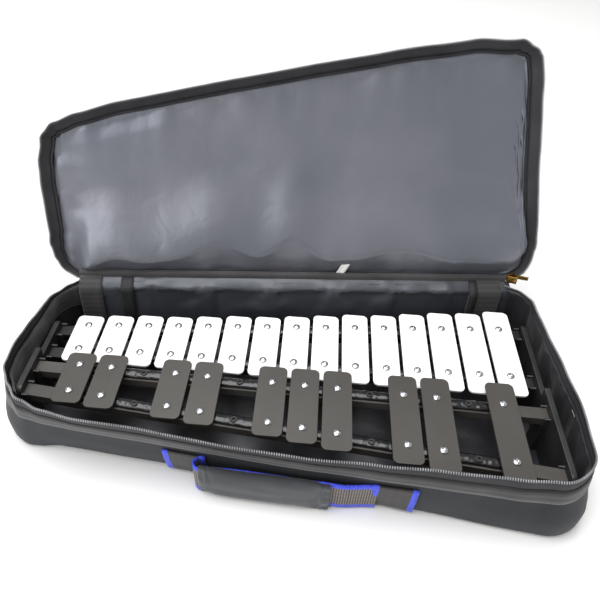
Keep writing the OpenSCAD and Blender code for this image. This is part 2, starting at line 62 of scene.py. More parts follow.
# ---- Places and sizes, read from the frame
joint_of = {joint["name"]: joint for joint in frame["joints"]}
hinge_at = Vector(joint_of["lid_hinge"]["pos_m"])
hinge_axis = Vector(joint_of["lid_hinge"]["axis"])
lid_open = math.radians(-joint_of["lid_hinge"]["range_deg"][0])
corner_at = Vector(joint_of["zip_slider_travel"]["pos_m"])
wall_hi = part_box("base_shell")[1]

TAPER = math.atan2(-hinge_axis.y, -hinge_axis.x)
SLOPE = math.tan(TAPER)
HINGE_OUT = 3 * MM
SEAM_Z = wall_hi.z
ZIP_Z = hinge_at.z
MID_HALF = hinge_at.y - HINGE_OUT / math.cos(TAPER)
CORNER_R = wall_hi.x - corner_at.x
LID_TURN = (Matrix.Translation(hinge_at) @ Matrix.Rotation(lid_open, 4, hinge_axis)
            @ Matrix.Translation(-hinge_at))


def ease(low, high, x):
    """0 below low, 1 above high, and smooth between."""
    t = min(1, max(0, (x - low) / (high - low)))
    return t * t * (3 - 2 * t)


def hump(x, middle, width):
    """1 at the middle, falling away to both sides."""
    return math.exp(-((x - middle) / width) ** 2)


# ======== Materials ========

def rgb(hex_code, alpha=1):
    """An sRGB hex colour as linear values."""
    parts = [int(hex_code[k:k + 2], 16) / 255 for k in (1, 3, 5)]
    return (*[p / 12.92 if p <= 0.04045 else ((p + 0.055) / 1.055) ** 2.4 for p in parts], alpha)


def add(tree, kind, settings=(), links=()):
    """Adds a node, sets its properties or sockets, and links outputs into its sockets."""
    made = tree.nodes.new(kind)
    for key, value in dict(settings).items():
        if isinstance(key, int) or key in made.inputs:
            made.inputs[key].default_value = value
        else:
            setattr(made, key, value)
    for key, source in dict(links).items():
        tree.links.new(source, made.inputs[key])
    return made


def new_material(name, **sockets):
    """A material and its shader, with the sockets that are the same all over set directly."""
    material = bpy.data.materials.new(name)
    material.use_nodes = True
    shader = material.node_tree.nodes["Principled BSDF"]
    for key, value in sockets.items():
        shader.inputs[key.replace("_", " ")].default_value = value
    return material, material.node_tree, shader


def mottle(tree, where, scale, dark, light, detail=4):
    """Cloudy change between two colours, scale clouds to the metre."""
    clouds = add(tree, "ShaderNodeTexNoise", {"Scale": scale, "Detail": detail}, {"Vector": where})
    return add(tree, "ShaderNodeMix", {"data_type": "RGBA", 6: rgb(dark), 7: rgb(light)}, {
        0: add(tree, "ShaderNodeMapRange", {"From Min": 0.35, "From Max": 0.65},
               {"Value": clouds.outputs[0]}).outputs[0]}).outputs[2]


def threads(tree, where, across, pitch, direction="X"):
    """A wave of one thread's width, along the given direction of the cloth."""
    return add(tree, "ShaderNodeTexWave", {
        "wave_type": "BANDS", "bands_direction": direction, "wave_profile": "SIN",
        "Scale": WAVE_SPACING / pitch, "Distortion": across, "Detail": 1.0, "Detail Scale": 2.0},
        {"Vector": where}).outputs[1]


def weave_height(tree, where, pitch_u, pitch_v):
    """Plain weave: threads both ways, so that each crossing stands up."""
    warp = threads(tree, where, 0.4, pitch_u, "X")
    weft = threads(tree, where, 0.4, pitch_v, "Y")
    return add(tree, "ShaderNodeMath", {"operation": "MULTIPLY"}, {0: warp, 1: weft}).outputs[0]


def bump(tree, shader, height, distance, strength=1.0, under=None):
    """Feeds a height in metres to the shader's normal, over another bump if one is given."""
    links = {"Height": height}
    if under is not None:
        links["Normal"] = under
    made = add(tree, "ShaderNodeBump", {"Distance": distance, "Strength": strength}, links)
    tree.links.new(made.outputs[0], shader.inputs["Normal"])
    return made.outputs[0]


def cloth_uv(tree):
    """The cloth's own unfolded place, in metres."""
    return add(tree, "ShaderNodeUVMap", {"uv_map": "cloth"}).outputs[0]


def body_xyz(tree):
    """The place on the whole object, in metres."""
    return add(tree, "ShaderNodeTexCoord").outputs["Object"]


def woven(name, dark, light, pitch_u, pitch_v, depth, cloud=30, **sockets):
    """Woven synthetic cloth with a visible thread and slightly uneven dye."""
    material, tree, shader = new_material(name, **sockets)
    where = cloth_uv(tree)
    height = weave_height(tree, where, pitch_u, pitch_v)
    colour = mottle(tree, body_xyz(tree), cloud, dark, light)
    shade = add(tree, "ShaderNodeMapRange", {"From Min": 0, "From Max": 1, "To Min": 0.55, "To Max": 1.15},
                {"Value": height})
    tinted = add(tree, "ShaderNodeMix", {"data_type": "RGBA", "blend_type": "MULTIPLY", 0: 1.0},
                 {6: colour, 7: shade.outputs[0]})
    tree.links.new(tinted.outputs[2], shader.inputs["Base Color"])
    bump(tree, shader, height, depth)
    return material


def painted(name, colour, shade, roughness, grain, coat):
    """Sprayed paint on steel: nearly even, with a faint orange peel that softens the glints."""
    material, tree, shader = new_material(name, Roughness=roughness, Coat_Weight=coat, Coat_Roughness=0.15)
    where = body_xyz(tree)
    tree.links.new(mottle(tree, where, 25, shade, colour, 3), shader.inputs["Base Color"])
    peel = add(tree, "ShaderNodeTexNoise", {"Scale": 1 / grain, "Detail": 2}, {"Vector": where})
    bump(tree, shader, peel.outputs[0], 0.02 * MM, 0.6)
    return material


def rubbery(name, dark, light, roughness, grain, depth, **sockets):
    """Moulded rubber or plastic with a fine uneven skin."""
    material, tree, shader = new_material(name, Roughness=roughness, **sockets)
    where = body_xyz(tree)
    tree.links.new(mottle(tree, where, 60, dark, light), shader.inputs["Base Color"])
    skin = add(tree, "ShaderNodeTexNoise", {"Scale": 1 / grain, "Detail": 4}, {"Vector": where})
    bump(tree, shader, skin.outputs[0], depth)
    return material


def metal(name, dark, light, roughness, grain, depth):
    """Plated or cast metal with handling marks that break up its gloss."""
    material, tree, shader = new_material(name, Metallic=1.0, Roughness=roughness)
    where = body_xyz(tree)
    tree.links.new(mottle(tree, where, 300, dark, light), shader.inputs["Base Color"])
    marks = add(tree, "ShaderNodeTexNoise", {"Scale": 1 / grain, "Detail": 3}, {"Vector": where})
    bump(tree, shader, marks.outputs[0], depth)
    return material


# Stove enamel on the natural bars: clean white, and glossy enough to blow out under the light
white_enamel = painted("white_stove_enamel", "#fbfbf9", "#f6f6f3", 0.22, 1.5 * MM, 0.4)
# Satin enamel on the sharp bars: warm dark grey that goes pale where it mirrors the sky
dark_enamel = painted("dark_satin_enamel", "#423f3b", "#3d3a36", 0.42, 1.2 * MM, 0.1)
rail_enamel = painted("rail_satin_enamel", "#4a4743", "#3e3b38", 0.45, 1.2 * MM, 0.1)
# The rails of the natural row get a near-black copy of the rail paint: painted shade for the shade under
# their bars
shaded_rail_enamel = painted("black_satin_enamel", "#1e1d1c", "#191817", 0.4, 1.2 * MM, 0.1)
# EPDM posts and cushion: black, the cushion with a wet-looking crinkled skin
post_rubber = rubbery("moulded_epdm_rubber", "#161617", "#222224", 0.5, 2 * MM, 0.03 * MM)
cushion_skin = rubbery("crinkled_rubber_skin", "#0e0e10", "#1c1c1f", 0.22, 3 * MM, 0.25 * MM)
plate_abs = rubbery("textured_abs", "#1b1b1c", "#2b2a2a", 0.42, 1.2 * MM, 0.04 * MM)
felt_fibre = rubbery("pressed_felt", "#1d1d1f", "#2e2e30", 0.95, 0.6 * MM, 0.1 * MM, Sheen_Weight=0.4)
nickel = metal("nickel_plated_steel", "#b9bbbd", "#e2e3e4", 0.16, 1.2 * MM, 0.01 * MM)
brass = metal("antiqued_brass", "#8a6a35", "#c49a55", 0.3, 1.0 * MM, 0.03 * MM)
coil_nylon = rubbery("coiled_nylon_monofilament", "#7c7e82", "#a3a5a8", 0.35, 1.5 * MM, 0.02 * MM)
foam_cell = rubbery("open_cell_foam", "#c9c8bf", "#e0dfd6", 0.95, 0.8 * MM, 0.2 * MM)
hardboard = rubbery("pressed_hardboard", "#6b5137", "#82664a", 0.8, 1.5 * MM, 0.05 * MM)
label_tape = rubbery("woven_label_tape", "#ececea", "#f7f7f5", 0.6, 0.7 * MM, 0.05 * MM)
# 600-denier polyester: charcoal with a dull sheen; threads are drawn at 1.2 mm, coarser than real
outer_cloth = woven("charcoal_pack_cloth", "#22262b", "#2e3238", 1.2 * MM, 1.2 * MM, 0.15 * MM,
                    Roughness=0.75, Sheen_Weight=0.1, Specular_IOR_Level=0.35)
# Grosgrain: ribs run across the tape; the dye is a little warmer than the cloth's
rib_tape = woven("black_grosgrain", "#383637", "#494648", 1.4 * MM, 6.0 * MM, 0.16 * MM,
                 Roughness=0.75, Sheen_Weight=0.2)
zip_cloth = woven("zip_tape_twill", "#303033", "#3d3c40", 1.3 * MM, 1.3 * MM, 0.12 * MM, Roughness=0.75)
sleeve_cloth = woven("black_pack_cloth", "#2f3338", "#3b3f44", 1.1 * MM, 1.1 * MM, 0.12 * MM,
                     Roughness=0.7, Sheen_Weight=0.25)
black_tape = woven("black_polypropylene_webbing", "#232224", "#353336", 1.6 * MM, 3.0 * MM, 0.25 * MM,
                   Roughness=0.7)
piping_cord = rubbery("covered_piping_cord", "#141416", "#222225", 0.7, 1.0 * MM, 0.05 * MM)


def satin_lining(name, dark, light, gloss=0.45, roughness=0.4):
    """Nylon taffeta: thin, slippery, grey-blue, its sheen running along the folds."""
    material, tree, shader = new_material(name, Roughness=roughness, Metallic=gloss, Sheen_Weight=0.1,
                                          Sheen_Roughness=0.4, Specular_IOR_Level=0.8)
    where = body_xyz(tree)
    tree.links.new(mottle(tree, where, 9, dark, light, 3), shader.inputs["Base Color"])
    # Creases from folding the cloth, a few to the decimetre, and the threads under them
    creases = add(tree, "ShaderNodeTexNoise", {"Scale": 38, "Detail": 5, "Distortion": 0.6},
                  {"Vector": where})
    first = bump(tree, shader, creases.outputs[0], 1.5 * MM, 0.5)
    grain = add(tree, "ShaderNodeTexNoise", {"Scale": 1 / (0.9 * MM), "Detail": 1}, {"Vector": where})
    bump(tree, shader, grain.outputs[0], 0.05 * MM, 0.5, first)
    return material


taffeta = satin_lining("grey_nylon_taffeta", "#6c6f79", "#7a7b84")
# A darker copy of the same cloth for the base: painted shade for the deep shade under the frame
shaded_base_taffeta = satin_lining("painted_shade_nylon_taffeta", "#2b2b2e", "#3a3a3e")
# A darker copy of the same taffeta for the hinge: painted shade for the shade in the hinge's fold
shaded_hinge_taffeta = satin_lining("painted_shade_hinge_taffeta", "#34383e", "#45484f", 0.3, 0.45)


def edged_webbing(name, width, edge, rib):
    """Black ribbed webbing with royal blue selvedges; v runs across it from 0 to its width."""
    material, tree, shader = new_material(name, Roughness=0.6, Sheen_Weight=0.1)
    where = cloth_uv(tree)
    v = add(tree, "ShaderNodeSeparateXYZ", (), {0: where}).outputs[1]
    from_middle = add(tree, "ShaderNodeMath", {"operation": "SUBTRACT", 1: width / 2}, {0: v})
    outward = add(tree, "ShaderNodeMath", {"operation": "ABSOLUTE"}, {0: from_middle.outputs[0]})
    is_edge = add(tree, "ShaderNodeMath", {"operation": "GREATER_THAN", 1: width / 2 - edge},
                  {0: outward.outputs[0]}).outputs[0]
    ribs = threads(tree, where, 0.2, 2.1 * MM)
    dark = add(tree, "ShaderNodeMix", {"data_type": "RGBA", 6: rgb("#151314"), 7: rgb(rib)}, {0: ribs})
    blue = mottle(tree, where, 500, "#2236c4", "#4b5cf0")
    colour = add(tree, "ShaderNodeMix", {"data_type": "RGBA"}, {0: is_edge, 6: dark.outputs[2], 7: blue})
    tree.links.new(colour.outputs[2], shader.inputs["Base Color"])
    bump(tree, shader, weave_height(tree, where, 2.1 * MM, 6 * MM), 0.3 * MM)
    return material


# ======== Making pieces ========

def place(piece, body, slot, *stands_for):
    """Hands a finished piece to its body and hides the solids it stands for; slot is not used."""
    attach(piece, body)
    if stands_for:
        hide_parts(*stands_for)
    return piece


def to_object(bm, name, material, flat=False):
    """Ends the mesh work on a piece and links it to the scene."""
    mesh = bpy.data.meshes.new(name)
    bm.to_mesh(mesh)
    bm.free()
    mesh.materials.append(material)
    mesh.polygons.foreach_set("use_smooth", [not flat] * len(mesh.polygons))
    piece = bpy.data.objects.new(name, mesh)
    scene.collection.objects.link(piece)
    return piece


def modifier(piece, kind, **settings):
    made = piece.modifiers.new(kind.lower(), kind)
    for key, value in settings.items():
        setattr(made, key, value)
    return made


def softened(node, name, material, body, slot, width, segments=2):
    """A rigid part's own shape with its doubles merged and its edges rounded, as cast or punched."""
    bm = bmesh.new()
    bm.from_mesh(frame["nodes"][node].data)
    bmesh.ops.remove_doubles(bm, verts=bm.verts, dist=1e-6)
    bmesh.ops.dissolve_limit(bm, angle_limit=math.radians(0.5), verts=bm.verts, edges=bm.edges)
    sharp = [e for e in bm.edges if e.is_manifold and e.calc_face_angle(0) > math.radians(35)]
    bmesh.ops.bevel(bm, geom=sharp, offset=width, segments=segments, affect="EDGES", profile=0.5,
                    clamp_overlap=True, material=-1)
    wide = [face.calc_area() > 12 * MM * MM for face in bm.faces]
    piece = to_object(bm, name, material)
    piece.data.polygons.foreach_set("use_smooth", [not broad for broad in wide])
    return place(piece, body, slot, node)


def closed_off(bm, loops):
    """Fills the open ends and turns every face outwards."""
    for loop in loops:
        bmesh.ops.holes_fill(bm, edges=loop)
    bmesh.ops.recalc_face_normals(bm, faces=bm.faces)


def thickened(piece, thick, offset):
    """Gives cloth its thickness for good, with the modifier applied."""
    modifier(piece, "SOLIDIFY", thickness=thick, offset=offset)
    bpy.context.view_layer.objects.active = piece
    bpy.ops.object.modifier_apply(modifier="solidify")


def skin(bm, rings, closed, facing):
    """Bridges rings of matching points into one surface with a cloth UV in metres.

    facing is a point on the side that the surface's front looks away from."""
    uv = bm.loops.layers.uv.get("cloth") or bm.loops.layers.uv.new("cloth")
    count = len(rings[0])
    spread = [0.0]
    for before, point in zip(rings[0], rings[0][1:]):
        spread.append(spread[-1] + (point - before).length)
    around = spread[-1] + (Vector(rings[0][0]) - Vector(rings[0][-1])).length
    along = {}
    loops = []
    climbed = [0.0] * count
    for number, ring in enumerate(rings):
        if number:
            climbed = [c + (Vector(a) - Vector(b)).length
                       for c, a, b in zip(climbed, ring, rings[number - 1])]
        verts = [bm.verts.new(p) for p in ring]
        along.update({vert: (u, v) for vert, u, v in zip(verts, spread, climbed)})
        ends = verts[1:] + verts[:1] if closed else verts[1:]
        loops.append([bm.edges.new(pair) for pair in zip(verts, ends)])
    faces = []
    for low, high in zip(loops, loops[1:]):
        faces += bmesh.ops.bridge_loops(bm, edges=low + high)["faces"]
    for face in faces:
        us = [along[loop.vert][0] for loop in face.loops]
        wraps = closed and max(us) - min(us) > around / 2
        for loop in face.loops:
            u, v = along[loop.vert]
            loop[uv].uv = (u + around if wraps and u < around / 2 else u, v)
    bm.normal_update()
    tally = sum((face.calc_center_median() - Vector(facing)).dot(face.normal) > 0 for face in faces)
    if tally < len(faces) / 2:
        bmesh.ops.reverse_faces(bm, faces=faces)
    return loops


def tube(name, path, radius, sides, material, closed=True):
    """A round cord swept along a path."""
    curve = bpy.data.curves.new(name, "CURVE")
    curve.dimensions = "3D"
    curve.bevel_depth = radius
    curve.bevel_resolution = max(0, sides // 4 - 1)
    curve.use_fill_caps = not closed
    line = curve.splines.new("POLY")
    line.points.add(len(path) - 1)
    line.points.foreach_set("co", [x for p in path for x in (*p, 1)])
    line.use_cyclic_u = closed
    holder = bpy.data.objects.new(name, curve)
    scene.collection.objects.link(holder)
    mesh = bpy.data.meshes.new_from_object(holder.evaluated_get(bpy.context.evaluated_depsgraph_get()))
    bpy.data.objects.remove(holder)
    bpy.data.curves.remove(curve)
    bm = bmesh.new()
    bm.from_mesh(mesh)
    bpy.data.meshes.remove(mesh)
    bmesh.ops.remove_doubles(bm, verts=bm.verts, dist=1e-6)
    bmesh.ops.recalc_face_normals(bm, faces=bm.faces)
    return to_object(bm, name, material)


def settle(piece, held, grow, frames, inward, outward, stiffness=8.0, bending=0.02, pressure=0.0):
    """Lets cloth find its own folds: it is cut grow larger than its seams, and moves no further
    than inward and outward along its normal. held are the vertices that are sewn down."""
    seam = piece.vertex_groups.new(name="seam")
    seam.add(held, 1.0, "REPLACE")
    rest = [(v.co.copy(), v.normal.copy()) for v in piece.data.vertices]
    cloth = piece.modifiers.new("cloth", "CLOTH")
    fabric = cloth.settings
    fabric.quality = 5
    fabric.mass = 0.12
    fabric.tension_stiffness = stiffness
    fabric.compression_stiffness = stiffness
    fabric.shear_stiffness = stiffness / 3
    fabric.bending_stiffness = bending
    fabric.shrink_min = -grow
    fabric.shrink_max = -grow
    fabric.vertex_group_mass = "seam"
    if pressure:
        fabric.use_pressure = True
        fabric.uniform_pressure_force = pressure
        fabric.effector_weights.gravity = 0
    cloth.collision_settings.use_collision = False
    cloth.collision_settings.use_self_collision = False
    cloth.point_cache.frame_start = 1
    cloth.point_cache.frame_end = frames
    for step in range(1, frames + 1):
        scene.frame_set(step)
    graph = bpy.context.evaluated_depsgraph_get()
    moved = [v.co.copy() for v in piece.evaluated_get(graph).data.vertices]
    piece.modifiers.remove(cloth)
    for vert, (start, normal), end in zip(piece.data.vertices, rest, moved):
        step = end - start
        height = step.dot(normal)
        slide = step - normal * height
        limit = 1.6 * MM
        if slide.length > limit:
            slide *= limit / slide.length
        bound = outward if height > 0 else inward
        height = bound * math.tanh(height / bound)
        vert.co = start + slide + normal * height
    scene.frame_set(1)
    piece.vertex_groups.clear()
    return piece


# ======== The instrument ========

natural_names = sorted(n for n in frame["nodes"] if n.startswith("natural_bar_"))
sharp_names = sorted(n for n in frame["nodes"] if n.startswith("sharp_bar_"))
rail_names = sorted(n for n in frame["nodes"] if "_rail_" in n)

for name in natural_names:
    softened(name, name + "_enamelled", white_enamel, "instrument", "white_bar_paint", 0.45 * MM)
for name in sharp_names:
    softened(name, name + "_enamelled", dark_enamel, "instrument", "dark_bar_paint", 0.45 * MM)
for name in rail_names:
    # The natural row's rails take the near-black paint, which is painted shade
    paint = shaded_rail_enamel if name.startswith("natural") else rail_enamel
    softened(name, name + "_painted", paint, "instrument", "rail_paint", 0.6 * MM)
for side in ("treble", "bass"):
    softened("end_plate_" + side, "end_plate_" + side + "_moulded", plate_abs, "instrument",
             "plate_plastic", 0.7 * MM)
softened("bar_posts", "bar_posts_moulded", post_rubber, "instrument", "post_rubber", 0.3 * MM)
softened("felt_washers", "felt_washers_pressed", felt_fibre, "instrument", "felt", 0.25 * MM)
for row in ("natural", "sharp"):
    softened(row + "_screws", row + "_screws_plated", nickel, "instrument", "screw_steel", 0.12 * MM)


def rail_line(node):
    """The two end points of a rail's top centre line."""
    corners = [v.co for v in frame["nodes"][node].data.vertices]
    low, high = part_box(node)
    ends = []
    for x in (low.x, high.x):
        ys = [c.y for c in corners if abs(c.x - x) < 0.1 * MM]
        ends.append(Vector((x, (min(ys) + max(ys)) / 2, high.z)))
    return ends


def cushion_strip(node, first, last, seed):
    """Crinkled cushion on one rail: a crowned strip whose skin is drawn into small cross folds."""
    start, end = rail_line(node)
    direction = (end - start).normalized()
    across = Vector((-direction.y, direction.x, 0))
    low, thick, width = 0.2 * MM, 3.0 * MM, 9.6 * MM
    steps = round((last - first) / (1.3 * MM))
    profile = [(-0.5, 0.0), (-0.5, 0.6), (-0.36, 0.95), (0, 1.05), (0.3, 1.0), (0.5, 0.6), (0.5, 0.0)]
    bm = bmesh.new()
    rings = []
    for k in range(steps + 1):
        x = first + (last - first) * k / steps
        middle = start + direction * ((x - start.x) / direction.x) + across * 0.5 * MM
        ring = []
        for side, height in profile:
            fold = noise.noise(Vector((x * 260, side * 3 + seed, height * 2)))
            fine = noise.noise(Vector((x * 700, side * 5 + seed, 3.0)))
            lift = height * (thick + 0.9 * MM * fold + 0.4 * MM * fine)
            wobble = 0.35 * MM * noise.noise(Vector((x * 90, seed + 9, side)))
            ring.append(middle + across * (side * width + wobble) + Vector((0, 0, low + lift)))
        rings.append(ring)
    loops = skin(bm, rings, True, (start + end) / 2)
    closed_off(bm, (loops[0], loops[-1]))
    return to_object(bm, "cushion_on_" + node, cushion_skin)


def middle_x(node):
    low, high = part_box(node)
    return (low.x + high.x) / 2


for seed, node in enumerate(rail_names):
    row = natural_names if node.startswith("natural") else sharp_names
    piece = cushion_strip(node, middle_x(row[0]) - 7 * MM, middle_x(row[-1]) + 7 * MM, seed * 7.3)
    place(piece, "instrument", "cushion_rubber", "rail_cushions")

# ======== Outlines of the soft case ========

BACK_STEPS, CORNER_STEPS, BASS_STEPS, FRONT_STEPS, TREBLE_STEPS = 96, 12, 26, 96, 16

# How far the soft rims have moved out from the sewn outline, in mm, station by station: the whole
# number is the stretch (0 back, 1 corner, 2 bass end, 3 corner, 4 front, 5 corner, 6 treble end,
# 7 corner) and the fraction is the part of it passed
BASE_EASE = ((0.0, 0), (0.95, 0), (1.3, -4), (1.7, -9), (2.0, -11), (2.25, -8.5), (2.5, -5),
             (2.75, -1.5), (3.0, -3.5), (3.5, -5.5), (4.0, -3.5), (4.07, 0), (4.2, 3.2), (4.32, 7.5),
             (4.45, 11.2), (4.57, 12.6), (4.7, 11), (4.76, 10), (4.88, 11), (4.95, 8), (5.0, 2),
             (5.33, -6), (5.66, -8), (6.0, -5.5), (6.25, -3.8), (6.5, -6), (6.75, -8.5), (7.0, -10),
             (7.4, -10), (7.8, -5), (8.0, 0))
LID_EASE = ((0.0, 15), (1.0, 12), (1.33, 10), (1.5, 5), (1.66, 0), (2.0, -3.5), (2.5, -8), (2.85, -11),
            (3.1, -16), (3.5, -20), (4.0, -18.5), (4.1, -11.5), (4.25, -9), (4.6, -8.8), (4.85, -10.5),
            (4.95, -14), (5.0, -18), (5.5, -20), (6.0, -17), (6.25, -10.5), (6.5, -8), (7.0, -6.2),
            (7.33, -1.5), (7.55, 4), (7.75, 10), (8.0, 15))


def station(table, place_at):
    """Value of a table of stations at a place between them, eased from one to the next."""
    for (low, before), (high, after) in zip(table, table[1:]):
        if place_at <= high:
            return (before + (after - before) * ease(low, high, place_at)) * MM
    return table[-1][1] * MM


def case_outline(inset):
    """Rounded tapered outline, inset from the case wall, as (point, outward normal, stretch)
    triples, clockwise from the treble end of the hinge."""
    radius = CORNER_R - inset
    half = corner_at.x
    rise = CORNER_R / math.cos(TAPER)
    deep, shallow = MID_HALF + SLOPE * half - rise, MID_HALF - SLOPE * half - rise
    quarter = math.pi / 2
    corners = [((half, deep), quarter + TAPER, 0), ((half, -deep), 0, -quarter - TAPER),
               ((-half, -shallow), -quarter - TAPER, -math.pi),
               ((-half, shallow), -math.pi, -math.pi - quarter + TAPER)]
    arcs = []
    for number, ((x, y), start, end) in enumerate(corners):
        arc = []
        for k in range(CORNER_STEPS + 1):
            angle = start + (end - start) * k / CORNER_STEPS
            normal = Vector((math.cos(angle), math.sin(angle), 0))
            arc.append((Vector((x, y, 0)) + normal * radius, normal, 2 * number + 1 + k / CORNER_STEPS))
        arcs.append(arc)
    ring = []
    for k, steps in enumerate((BACK_STEPS, BASS_STEPS, FRONT_STEPS, TREBLE_STEPS)):
        (start, normal, _), (end, _, _) = arcs[k - 1][-1], arcs[k][0]
        ring += [(start.lerp(end, j / steps), normal, 2 * k + j / steps) for j in range(steps)]
        ring += arcs[k][:-1]
    return ring


RING = len(case_outline(0))
# The zip runs from just past the bass end of the hinge right round to its treble end
ZIP_RUN = list(range(BACK_STEPS + 1, RING)) + [0]
HINGE_RUN = list(range(0, BACK_STEPS + 1))


def near_hinge(at):
    """1 at the hinge's ends, fading to 0 along the two ends of the case."""
    return max(1 - ease(1.2, 2.6, at), ease(6.4, 7.6, at))


def soft_base(point, normal, at, height):
    """Where a point of the sewn outline lies on the soft base at one height: the rim leans out
    along the front and in at the back corners, where the zip also comes down to the wall."""
    out = station(BASE_EASE, at)
    if out > 0:
        tucked = 5 * MM * (1 - ease(0, 30 * MM, height)) * min(1, out / (8 * MM))
        out = out * (height / (67 * MM)) ** 2.6 - tucked
    else:
        out *= ease(20 * MM, 64 * MM, height)
    # The foot of the lower front corner keeps its stuffed, squarer shape
    out += 4.5 * MM * hump(at, 3.5, 0.5) * (1 - ease(15 * MM, 45 * MM, height))
    above = max(0, height - SEAM_Z)
    ripple = noise.noise(Vector((point.x * 22, point.y * 22, height * 30)))
    place_now = point + normal * (out + 0.6 * MM * ripple)
    return Vector((place_now.x, place_now.y, height - above * 0.75 * near_hinge(at)))


def base_level(height, inset):
    return [soft_base(point, normal, at, height) for point, normal, at in case_outline(inset)]


def base_levels(profile):
    """Rings of the base at each (height, inset) of a profile in mm."""
    return [base_level(h * MM, i * MM) for h, i in profile]


def lid_level(height, inset, hangs=True):
    """The lid at one height above the zip, in the closed place, then turned to where it is open.
    Its walls lie flat along the hinge, so the insets are small there, and the cloth sewn to the
    hinge hangs a little below it. The stuffed panel does not, and lies behind the lining there."""
    ring = []
    for point, normal, at in case_outline(0):
        at_back = max(1 - ease(1.0, 1.8, at), ease(7.3, 8.0, at))
        ripple = 0.6 * MM * noise.noise(Vector((point.x * 18, point.y * 18, 7.0)))
        hang = station(LID_EASE, at)
        level = height
        if not hangs:
            level = max(height, 13 * MM * ease(0, 4 * MM, hang))
            hang = min(hang, 2 * MM)
        out = hang - inset * (1 - 0.72 * at_back * hangs) + ripple
        ring.append(LID_TURN @ (point + normal * out + Vector((0, 0, ZIP_Z + level))))
    return ring


def lid_levels(profile, hangs=True):
    """Rings of the lid at each (height, inset) of a profile in mm."""
    return [lid_level(h * MM, i * MM, hangs) for h, i in profile]


def drawn_in(ring, rise, shares):
    """Rings that carry on from a ring towards its middle, each rise higher out of the lid."""
    middle = sum(ring, Vector()) / len(ring)
    outward = (LID_TURN.to_3x3() @ Vector((0, 0, 1))) * rise
    return [[p.lerp(middle, share) + outward * (k + 1) for p in ring] for k, share in enumerate(shares)]


def pick(ring, run):
    return [ring[k] for k in run]


base_middle = Vector((0, 0, 30 * MM))
lid_middle = LID_TURN @ Vector((0, 0, ZIP_Z))

# ======== Case base ========

# Outer cloth, from the flat of the floor up to the seam under the rim
bm = bmesh.new()
wall_profile = [(0, 12), (0, 5.5), (0.9, 2.8), (2.8, 1.0), (6.2, 0.1), (14, -0.4), (22, -0.9), (30, -0.8),
                (38, -0.3), (46, 0.1), (53, 0.2), (58.5, 0.6)]
closed_off(bm, skin(bm, base_levels(wall_profile), True, base_middle)[:1])
base_outer = to_object(bm, "base_outer_cloth", outer_cloth)
modifier(base_outer, "SOLIDIFY", thickness=0.9 * MM, offset=-1)
place(base_outer, "case", "outer_nylon", "base_shell")

# Foam between the cloths, and the board in the floor
bm = bmesh.new()
skin(bm, base_levels(((5, 4.0), (30, 0.9), (54, 1.2))), True, base_middle)
base_foam = to_object(bm, "base_wall_foam", foam_cell)
modifier(base_foam, "SOLIDIFY", thickness=1.2 * MM, offset=-1)
place(base_foam, "case", "foam", "base_padding")
bm = bmesh.new()
closed_off(bm, skin(bm, base_levels(((1.2, 9), (4.0, 9))), True, base_middle))
base_floor = to_object(bm, "base_floor_board", hardboard, flat=True)
place(base_floor, "case", "hardboard", "base_board")

# Woven band sewn round the top of the wall
bm = bmesh.new()
band_profile = [(45.0, -0.2), (45.2, -0.7), (49, -0.8), (53, -0.7), (57.4, -0.3), (58.4, 0.6)]
skin(bm, base_levels(band_profile), True, base_middle)
base_band = to_object(bm, "base_grosgrain_band", rib_tape)
modifier(base_band, "SOLIDIFY", thickness=0.7 * MM, offset=-1)
place(base_band, "case", "grosgrain", "base_band")

# Dark bead between band and zip
base_bead = tube("base_rim_piping", base_level(59.2 * MM, 0.9 * MM), 1.2 * MM, 8, piping_cord)
place(base_bead, "case", "piping", "base_piping")


def zip_tape(name, levels, body, slot, middle, stands_for):
    """One side of the zip: a strip of twill that stands up from the seam."""
    bm = bmesh.new()
    skin(bm, [pick(level, ZIP_RUN) for level in levels], False, middle)
    tape = to_object(bm, name, zip_cloth)
    modifier(tape, "SOLIDIFY", thickness=0.8 * MM, offset=0)
    return place(tape, body, slot, stands_for)


def zip_teeth(name, edge, inner, body, slot, stands_for):
    """The coil: one small tooth for every turn of the monofilament along the tape's edge."""
    pitch, long, wide, tall = 1.9 * MM, 0.9 * MM, 2.5 * MM, 1.7 * MM
    bm = bmesh.new()
    spare = 0.0
    for (a, b), (c, d) in zip(zip(edge, edge[1:]), zip(inner, inner[1:])):
        run = b - a
        at = spare
        while at < run.length:
            t = at / run.length
            where = a.lerp(b, t)
            along = run.normalized()
            out = (where - c.lerp(d, t)).normalized()
            side = along.cross(out).normalized()
            turned = Matrix((along, out, side)).transposed().to_4x4()
            size = Matrix.Diagonal((long, wide, tall, 1))
            bmesh.ops.create_cube(bm, size=1, matrix=Matrix.Translation(where) @ turned @ size)
            at += pitch
        spare = at - run.length
    teeth = to_object(bm, name, coil_nylon)
    modifier(teeth, "BEVEL", width=0.35 * MM, segments=1, limit_method="NONE")
    return place(teeth, body, slot, stands_for)


base_tape_levels = base_levels(((58.2, 2.0), (61, 1.2), (64, 1.0), (67, 1.4), (69.6, 2.0)))
zip_tape("base_zip_tape_twill", base_tape_levels, "case", "zip_tape", base_middle, "base_zip_tape")
zip_teeth("base_zip_teeth", pick(base_tape_levels[-1], ZIP_RUN), pick(base_tape_levels[-2], ZIP_RUN),
          "case", "zip_coil", "base_zip_coil")


